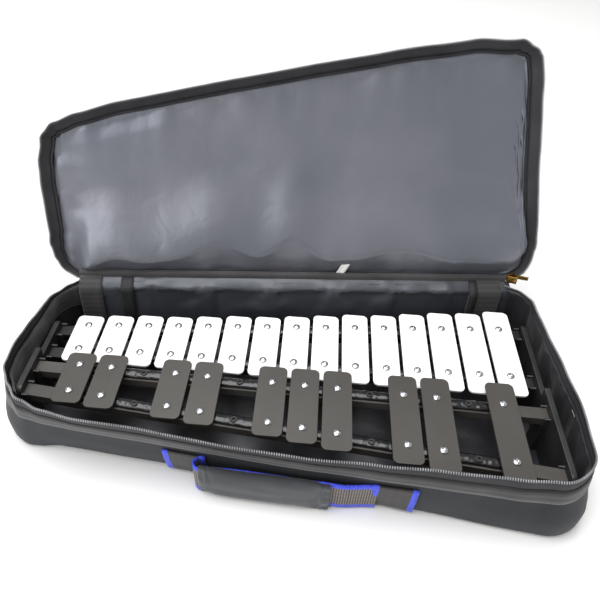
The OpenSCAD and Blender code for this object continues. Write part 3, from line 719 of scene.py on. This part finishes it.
def base_lining():
    """Lining of the walls and floor, cut too large so that it hangs in folds."""
    rows = [(58.6, 2.6), (56, 3.2)] + [(56 - 3.4 * k, 3.6 + 0.02 * k * k) for k in range(1, 15)]
    rows += [(5.2, 9.0), (4.9, 13.0)]
    bm = bmesh.new()
    levels = base_levels(rows)
    loops = skin(bm, levels, True, base_middle)
    bmesh.ops.reverse_faces(bm, faces=bm.faces)
    bmesh.ops.holes_fill(bm, edges=loops[-1])
    bmesh.ops.recalc_face_normals(bm, faces=bm.faces)
    bmesh.ops.reverse_faces(bm, faces=bm.faces)
    bm.verts.ensure_lookup_table()
    held = [k for k in range(len(bm.verts)) if k < RING or k >= RING * (len(rows) - 2)]
    area = sum(face.calc_area() for face in bm.faces)
    lining = to_object(bm, "base_taffeta_lining", shaded_base_taffeta)
    settle(lining, held, 0.05, 16, 1.2 * MM, 3.0 * MM)
    modifier(lining, "SOLIDIFY", thickness=0.4 * MM, offset=-1)
    place(lining, "case", "lining_satin", "base_lining")


base_lining()

# The binding of the rim is turned in over the lining at the treble end, and lies there crumpled
turned_run = [k for k, spot in enumerate(case_outline(0)) if spot[2] > 5.25] + [0]
bm = bmesh.new()
turned = []
for h, i in ((60, 3.4), (57, 4.2), (53, 4.9), (49, 5.5), (45, 6.0), (41, 6.4), (37, 6.8), (34, 7.4)):
    row = []
    for p in pick(base_level(h * MM, i * MM), turned_run):
        crumple = noise.noise(Vector((p.x * 60, p.y * 60, h * 0.11)))
        row.append(p + (base_middle - p).normalized() * (1.0 + 1.6 * crumple) * MM)
    turned.append(row)
skin(bm, turned, False, Vector((-1, 0, 0)))
turned_band = to_object(bm, "rim_binding_turned_in", rib_tape)
modifier(turned_band, "SOLIDIFY", thickness=0.7 * MM, offset=0)
place(turned_band, "case", "grosgrain")

# ======== Hinge ========

def back_point(x):
    """A point of the back wall's line, by how far along it lies."""
    return Vector((x, MID_HALF + SLOPE * x, 0))


back_out = Vector((-math.sin(TAPER), math.cos(TAPER), 0))
HINGE_HALF = corner_at.x + 7 * MM


def span(low, high, steps):
    return [low + (high - low) * k / steps for k in range(steps + 1)]


def back_line(offset, height, xs=None):
    """Points along the back wall at a distance inside it (or outside, if negative)."""
    return [back_point(x) - back_out * offset + Vector((0, 0, height))
            for x in xs or span(-HINGE_HALF, HINGE_HALF, BACK_STEPS)]


def lid_line(distance, height, xs=None):
    """Points of the open lid at a distance from the hinge wall line, height above the zip."""
    return [LID_TURN @ (back_point(x) - back_out * distance + Vector((0, 0, ZIP_Z + height)))
            for x in xs or span(-HINGE_HALF, HINGE_HALF, BACK_STEPS)]


def hinge_cloth(name, rows, material, slot, held_rows, grow, reach, facing, thick, *stands_for):
    """Cloth that crosses from the back wall to the open lid."""
    bm = bmesh.new()
    skin(bm, rows, False, facing)
    piece = to_object(bm, name, material)
    wide = len(rows[0])
    held = [r * wide + c for r in range(len(rows)) for c in range(wide)
            if r in held_rows or c in (0, wide - 1)]
    if grow:
        settle(piece, held, grow, 14, 0.6 * MM, reach)
    thickened(piece, thick, -1)
    if stands_for:
        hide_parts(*stands_for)
    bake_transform(piece)


def hinge_rows(lift, xs=None):
    """The way of the inner hinge cloth from the wall's foot up to the lid, lift in front of it."""
    rows = [back_line((8.0 + 0.065 * (55 - h)) * MM + lift, h * MM, xs)
            for h in (14, 19, 24, 29, 34, 39, 44, 48, 52, 55)]
    return rows + [back_line(6.0 * MM + lift, 58 * MM, xs), lid_line(-13 * MM, 1.6 * MM - lift, xs),
                   lid_line(-9.5 * MM, 4.4 * MM, xs)]


inner_facing = Vector((0, 0.35, 0.04))
hinge_cloth("hinge_inner_lining", hinge_rows(0), shaded_hinge_taffeta, "lining_satin", (0, 11, 12), 0.08, 3.0 * MM,
            inner_facing, 0.5 * MM, "hinge_panel")
out_rows = [back_line(-0.6 * MM, h * MM) for h in (48, 52, 56, 59)]
out_rows += [lid_line(-13 * MM, 4.4 * MM), lid_line(-12 * MM, 8 * MM), lid_line(-7 * MM, 11 * MM)]
hinge_cloth("hinge_outer_cloth", out_rows, outer_cloth, "outer_nylon", (0, 7), 0, 0, base_middle, 0.8 * MM)
# Tabs that hold the hinge: a rough webbing strip at the treble end, a wide tab with a folded strip at the
# bass end, and the end of the rim's binding beside the treble tab
treble_tab = span(-177 * MM, -165 * MM, 4)
bass_tab = span(176 * MM, 209 * MM, 8)
hinge_cloth("hinge_tab_treble", hinge_rows(2.6 * MM, treble_tab), black_tape, "black_webbing", (), 0, 0,
            inner_facing, 1.1 * MM, "hinge_webbing_treble")
hinge_cloth("hinge_tab_bass", hinge_rows(2.6 * MM, bass_tab), rib_tape, "black_webbing", (), 0, 0,
            inner_facing, 1.1 * MM, "hinge_webbing_bass")
hinge_cloth("hinge_fold_bass", hinge_rows(4.0 * MM, span(176 * MM, 184 * MM, 2)), black_tape,
            "black_webbing", (), 0, 0, inner_facing, 1.0 * MM)
hinge_cloth("hinge_binding_treble", hinge_rows(3.2 * MM, span(-218 * MM, -196 * MM, 6)), rib_tape,
            "grosgrain", (), 0, 0, inner_facing, 1.1 * MM)

# ======== Lid ========

# Padded outer panel with a short side wall
bm = bmesh.new()
lid_profile = [(8.6, 11.8), (10.6, 9.6), (13.5, 9.0), (16.4, 9.8), (17.8, 12.2), (18.3, 14.8)]
lid_rings = lid_levels(lid_profile, False)
lid_rings += drawn_in(lid_rings[-1], 0.5 * MM, (0.06, 0.2, 0.5, 0.8))
closed_off(bm, skin(bm, lid_rings, True, lid_middle)[-1:])
lid_outer = to_object(bm, "lid_outer_cloth", outer_cloth)
modifier(lid_outer, "SOLIDIFY", thickness=0.9 * MM, offset=-1)
place(lid_outer, "lid", "outer_nylon", "lid_shell")

# Foam in the lid
bm = bmesh.new()
foam_rings = lid_levels(((13.2, 15), (13.2, 13), (16.2, 13), (16.8, 15)), False)
loops = skin(bm, foam_rings, True, lid_middle)
closed_off(bm, (loops[0], loops[-1]))
lid_foam = to_object(bm, "lid_foam_sheet", foam_cell)
place(lid_foam, "lid", "foam", "lid_padding")

lid_tape_levels = lid_levels(((9.6, 11.6), (8.4, 9.4), (6.2, 6.8), (3.8, 4.4), (1.8, 2.4)))
zip_tape("lid_zip_tape_twill", lid_tape_levels, "lid", "zip_tape", lid_middle, "lid_zip_tape")
zip_teeth("lid_zip_teeth", pick(lid_tape_levels[-1], ZIP_RUN), pick(lid_tape_levels[-2], ZIP_RUN),
          "lid", "zip_coil", "lid_zip_coil")
lid_bead = tube("lid_seam_piping", lid_level(8.8 * MM, 13.0 * MM), 1.2 * MM, 8, piping_cord)
place(lid_bead, "lid", "piping", "lid_piping")


def hang_from_hinge(piece, slot, thick, firm_at, *stands_for):
    """Gives cloth its thickness and hides the solids it stands for; firm_at is not used."""
    thickened(piece, thick, -1)
    if stands_for:
        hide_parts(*stands_for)
    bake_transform(piece)


def lid_lining():
    """Lining of the lid: one sheet sewn in round its edge, a little too large, so that it puckers
    at the seams and sags into waves above the hinge."""
    rim = lid_level(10.6 * MM, 13.6 * MM)
    middle = sum(rim, Vector()) / len(rim)
    axis = (LID_TURN.to_3x3() @ Vector((0, 0, -1))).normalized()
    along = (LID_TURN.to_3x3() @ Vector((math.cos(TAPER), math.sin(TAPER), 0))).normalized()
    away = axis.cross(along)
    bm = bmesh.new()
    bmesh.ops.create_grid(bm, x_segments=170, y_segments=80, size=0.5)
    flat = [((p - middle).dot(along), (p - middle).dot(away)) for p in rim]
    lows = sorted(flat[k][1] for k in HINGE_RUN)
    floor_line = lows[len(lows) // 2]
    sign = 1 if floor_line < 0 else -1
    uv = bm.loops.layers.uv.new("cloth")
    held = []
    left, right = min(f[0] for f in flat), max(f[0] for f in flat)

    def bounds_at(u):
        crossings = []
        for (a, b), (c, d) in zip(flat, flat[1:] + flat[:1]):
            if min(a, c) <= u < max(a, c):
                crossings.append(b + (d - b) * (u - a) / (c - a))
        return min(crossings), max(crossings)

    columns = {}
    for number, vert in enumerate(bm.verts):
        share = round((vert.co.x + 0.5) * 170)
        if share not in columns:
            u = left + (right - left) * min(max(share / 170, 0.0004), 0.9996)
            columns[share] = (u, *bounds_at(u))
        u, low, high = columns[share]
        t = vert.co.y + 0.5
        v = low + (high - low) * t
        edge = min(u - left, right - u, v - low, high - v)
        if share in (0, 170) or t < 0.001 or t > 0.999:
            held.append(number)
            lift = 0
        else:
            up = (v - low) if sign > 0 else (high - v)
            ridge = 20 + 7 * noise.noise(Vector((u * 24, 2, 4))) + 18 * hump(u, -78 * MM, 26 * MM)
            ridge += 23 * hump(u, -3 * MM, 24 * MM) + 14 * hump(u, 105 * MM, 30 * MM)
            ridge = ridge * MM * ease(-240 * MM, -175 * MM, u)
            rise = 1 - max(0, 1 - up / max(ridge, 8 * MM)) ** 1.1
            sag = 12.5 * rise * ease(2 * MM, 12 * MM, ridge) * (1 - ease(ridge, ridge + 80 * MM, up))
            # Gathers run in from each seam, finer along it than across it
            above, beside = min(v - low, high - v), min(u - left, right - u)
            pucker = 3.0 * math.exp(-above / (22 * MM)) * noise.noise(Vector((u * 62, v * 9, 3.3)))
            pucker += 3.0 * math.exp(-beside / (22 * MM)) * noise.noise(Vector((u * 9, v * 62, 6.1)))
            pucker *= ease(0, 5 * MM, edge)
            billow = 3.2 * (0.3 + noise.noise(Vector((u * 15, v * 15, 1.3)))) * ease(0, 20 * MM, edge)
            lift = max(sag + pucker + billow, -0.6)
        vert.co = middle + along * u + away * v + axis * lift * MM
    for face in bm.faces:
        for loop in face.loops:
            loop[uv].uv = ((loop.vert.co - middle).dot(along), (loop.vert.co - middle).dot(away))
    bm.normal_update()
    if sum(face.normal.dot(axis) for face in bm.faces) < 0:
        bmesh.ops.reverse_faces(bm, faces=bm.faces)
    lining = to_object(bm, "lid_taffeta_lining", taffeta)
    settle(lining, held, 0.03, 22, 1.2 * MM, 6.0 * MM)
    hang_from_hinge(lining, "lining_satin", 0.4 * MM, 3 * MM, "lid_lining")


lid_lining()

# Binding over the lid's seam along the hinge
bm = bmesh.new()
binding_rows = [lid_line(-5.5 * MM, 6.0 * MM), lid_line(-6 * MM, 3.4 * MM), lid_line(-9 * MM, 2.2 * MM),
                lid_line(-12.5 * MM, 2.6 * MM), lid_line(-13.5 * MM, 5.0 * MM)]
skin(bm, binding_rows, False, lid_middle + Vector((0, 1, 0)))
binding = to_object(bm, "lid_hinge_binding", rib_tape)
hang_from_hinge(binding, "grosgrain", 1.2 * MM, -2 * MM)

# ======== Small parts ========
softened("zip_slider", "zip_slider_cast", brass, "zip_slider", "zip_brass", 0.25 * MM)
softened("zip_pull", "zip_pull_cast", brass, "zip_pull", "zip_brass", 0.25 * MM)

# Care label: a folded slip of tape caught in the lid's lower seam, leaning towards the bass end
bm = bmesh.new()
skin(bm, [[LID_TURN @ (back_point((38 + 8.5 * k / 6 + 6.5 * t) * MM) - back_out * (14 * t - 9) * MM
                       + Vector((0, 0, ZIP_Z + (6.2 - 3.4 * t + 0.5 * math.sin(k)) * MM))) for k in range(7)]
          for t in span(0, 1, 8)], False, lid_middle + Vector((0, 1, 0)))
label = to_object(bm, "care_label_slip", label_tape)
hang_from_hinge(label, "label_cloth", 0.5 * MM, 2 * MM, "care_label")

# ======== Handle ========

WEBBING = 36 * MM
SELVEDGE = 5 * MM
strap_webbing = edged_webbing("blue_edged_webbing", WEBBING, SELVEDGE, "#857a71")
# The sewn patches are the same webbing lying flat on the wall, with its ribs painted darker: painted shade,
# as the ribs catch less light there
shaded_patch_webbing = edged_webbing("shaded_blue_edged_webbing", WEBBING, SELVEDGE, "#3f3b38")
front_along = Vector((math.cos(TAPER), -math.sin(TAPER), 0))
front_out = Vector((-math.sin(TAPER), -math.cos(TAPER), 0))
FRONT_HALF = (corner_at.x - CORNER_R * math.sin(TAPER)) / math.cos(TAPER)


def at_front(l, out, z):
    """A point by its place along the front wall, its distance from the wall and its height."""
    return Vector((0, -MID_HALF, z)) + front_along * l + front_out * out


def on_wall(l, out, z):
    """The same, with the distance measured from the soft wall."""
    start = at_front(l, 0, 0)
    at = 4 + (FRONT_HALF - l) / (2 * FRONT_HALF)
    return soft_base(start, front_out, at, z) + front_out * out


def webbing(name, sections, spread, thick, material):
    """A piece of webbing from its cross lines, each from one selvedge to the other."""
    bm = bmesh.new()
    uv = bm.loops.layers.uv.new("cloth")
    rows = [[bm.verts.new(p) for p in line] for line in sections]
    for (near, far), (u0, u1) in zip(zip(rows, rows[1:]), zip(spread, spread[1:])):
        count = len(near) - 1
        for k in range(count):
            face = bm.faces.new((near[k], far[k], far[k + 1], near[k + 1]))
            corners = ((u0, k), (u1, k), (u1, k + 1), (u0, k + 1))
            for loop, (u, v) in zip(face.loops, corners):
                loop[uv].uv = (u, WEBBING * v / count)
    piece = to_object(bm, name, material)
    thickened(piece, thick, 0)
    return piece


# Patches: upright webbing sewn flat to the wall
for side in ("treble", "bass"):
    low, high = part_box("handle_patch_" + side)
    centre = ((low + high) / 2 - Vector((0, -MID_HALF, 0))).dot(front_along)
    heights = span(low.z, high.z + 1 * MM, 8)
    lines = [[on_wall(centre + WEBBING * (k / 12 - 0.5), 2.2 * MM, h) for k in range(13)] for h in heights]
    patch = webbing("handle_patch_sewn_" + side, lines, heights, 1.5 * MM, shaded_patch_webbing)
    place(patch, "case", "blue_edged_webbing", "handle_patch_" + side)
    if side == "treble":
        LOOP_AT = centre + WEBBING / 2
    else:
        SEWN_AT = centre - WEBBING / 2

# Strap: it leaves the treble patch in a loop, runs through the sleeve and is sewn to the bass patch
strap_way = [(LOOP_AT - 1 * MM, 3.5), (LOOP_AT - 6 * MM, 5), (LOOP_AT - 8.5 * MM, 10),
             (LOOP_AT - 5 * MM, 14.5), (LOOP_AT + 2 * MM, 14), (LOOP_AT + 12 * MM, 12),
             (LOOP_AT + 50 * MM, 10), (LOOP_AT + 104 * MM, 9), (SEWN_AT - 18 * MM, 7.5),
             (SEWN_AT - 6 * MM, 5), (SEWN_AT + 5 * MM, 3.2)]


def smooth_way(points, steps):
    """A curve through points, with the same number of steps in each stretch."""
    ends = [points[0]] + list(points) + [points[-1]]
    curve = []
    for a, b, c, d in zip(ends, ends[1:], ends[2:], ends[3:]):
        for k in range(steps):
            t = k / steps
            curve.append(tuple(0.5 * (2 * q + (r - p) * t + (2 * p - 5 * q + 4 * r - s) * t * t
                                      + (3 * q - p - 3 * r + s) * t ** 3) for p, q, r, s in zip(a, b, c, d)))
    return curve + [points[-1]]


strap_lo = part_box("handle_strap")[0]
STRAP_STEPS = 8
strap_curve = smooth_way(strap_way, STRAP_STEPS)
strap_lines = []
strap_spread = [0.0]
for k, (l, out) in enumerate(strap_curve):
    droop = 1.2 * MM * noise.noise(Vector((l * 40, 3, 3)))
    line = []
    for j in range(9):
        share = j / 8
        z = strap_lo.z + droop + WEBBING * share
        line.append(at_front(l, (out - 2.6 * (1 - share)) * MM, z))
    strap_lines.append(line)
    if k:
        strap_spread.append(strap_spread[-1] + (line[4] - strap_lines[-2][4]).length)
# The part from the fifth point of its way to the eighth goes with the handle
cut_a, cut_b = 5 * STRAP_STEPS, 8 * STRAP_STEPS
mid_strap = webbing("handle_strap_middle", strap_lines[cut_a:cut_b + 1], strap_spread[cut_a:cut_b + 1],
                    1.5 * MM, strap_webbing)
place(mid_strap, "handle", "blue_edged_webbing", "handle_strap")
strap_ends = (("handle_strap_loop", slice(0, cut_a + 1), LOOP_AT - 3 * MM, LOOP_AT + 8 * MM),
              ("handle_strap_sewn_end", slice(cut_b, None), SEWN_AT, SEWN_AT - 14 * MM))
for name, part, from_l, to_l in strap_ends:
    piece = webbing(name, strap_lines[part], strap_spread[part], 1.5 * MM, strap_webbing)
    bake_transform(piece)


def sleeve():
    """Padded sleeve: pack cloth round foam, blown up a little between its seams, then creased
    lengthwise where it has been gripped."""
    first, last = LOOP_AT - 4 * MM, LOOP_AT + 104 * MM
    thick, tall, stations, around = 7.0 * MM, WEBBING + 3 * MM, 54, 28
    bm = bmesh.new()
    rings = []
    for k in range(stations + 1):
        t = k / stations
        l = first + (last - first) * t
        middle_out = (13.0 - 2.6 * ease(0, 1, t)) * MM
        pinch = 0.72 + 0.28 * min(1, min(t, 1 - t) * 14)
        ring = []
        for j in range(around):
            angle = 2 * math.pi * j / around
            up = math.sin(angle) * tall / 2
            side = math.copysign(abs(math.cos(angle)) ** 0.45, math.cos(angle)) * thick / 2 * pinch
            lean = 2.8 * MM * up / tall
            ring.append(at_front(l, middle_out + side + lean, strap_lo.z + WEBBING / 2 + up))
        rings.append(ring)
    loops = skin(bm, rings, True, at_front((first + last) / 2, 11 * MM, 20 * MM))
    closed_off(bm, (loops[0], loops[-1]))
    piece = to_object(bm, "handle_sleeve_padded", sleeve_cloth)
    ends = [k for k in range(len(piece.data.vertices)) if k < around or k >= around * stations]
    settle(piece, ends, 0.05, 14, 0.6 * MM, 2.2 * MM, pressure=4.0)
    for vert in piece.data.vertices:
        l = (vert.co - Vector((0, -MID_HALF, 0))).dot(front_along)
        crease = noise.noise(Vector((l * 16, vert.co.z * 150, 2.0)))
        fine = noise.noise(Vector((l * 45, vert.co.z * 260, 5.0)))
        vert.co += vert.normal * (0.9 * crease + 0.4 * fine) * MM
    modifier(piece, "SUBSURF", levels=1, render_levels=1)
    place(piece, "handle", "sleeve_nylon", "handle_sleeve")


sleeve()

# ======== Studio ========
floor_mesh = bmesh.new()
bmesh.ops.create_grid(floor_mesh, x_segments=1, y_segments=1, size=6)
floor_paint, _, floor_shader = new_material("pale_studio_floor", Roughness=0.9)
floor_shader.inputs["Base Color"].default_value = rgb("#f7f7f6")
floor = to_object(floor_mesh, "studio_floor", floor_paint, flat=True)


def soft_light(name, where, aim, size, power):
    """A large rectangular lamp, as a studio softbox."""
    lamp = bpy.data.lights.new(name, "AREA")
    lamp.shape = "RECTANGLE"
    lamp.size, lamp.size_y = size
    lamp.energy = power
    holder = bpy.data.objects.new(name, lamp)
    holder.location = where
    holder.rotation_euler = (Vector(aim) - Vector(where)).to_track_quat("-Z", "Y").to_euler()
    scene.collection.objects.link(holder)


soft_light("overhead", (-0.3, 0.1, 1.9), (0, 0, 0), (1.8, 1.4), 44)
soft_light("front_left", (-1.3, -1.5, 1.1), (0, 0.05, 0.1), (1.2, 1.0), 16)

world = bpy.data.worlds.new("studio")
world.use_nodes = True
world.node_tree.nodes["Background"].inputs[0].default_value = (1, 1, 1, 1)
world.node_tree.nodes["Background"].inputs[1].default_value = 0.5
scene.world = world
scene.view_settings.view_transform = "Standard"

camera = bpy.data.objects.new("camera", bpy.data.cameras.new("camera"))
# The camera stands in front of the open case and looks down into it at about 42 degrees
camera_at = Vector((0.0077, -0.3796, 0.4731))
forward = Vector((-0.0276, 0.7465, -0.6648))
right = Vector((0.9968, 0.0709, 0.0382))
up = right.cross(forward).normalized()
camera.matrix_world = Matrix.Translation(camera_at) @ Matrix(
    (forward.cross(up).normalized(), up, -forward.normalized())).transposed().to_4x4()
camera.data.sensor_width = 36
camera.data.lens = 37.2
camera.data.shift_x = 0.0213
camera.data.shift_y = -0.0135
camera.data.clip_start = 0.01
scene.collection.objects.link(camera)
scene.camera = camera
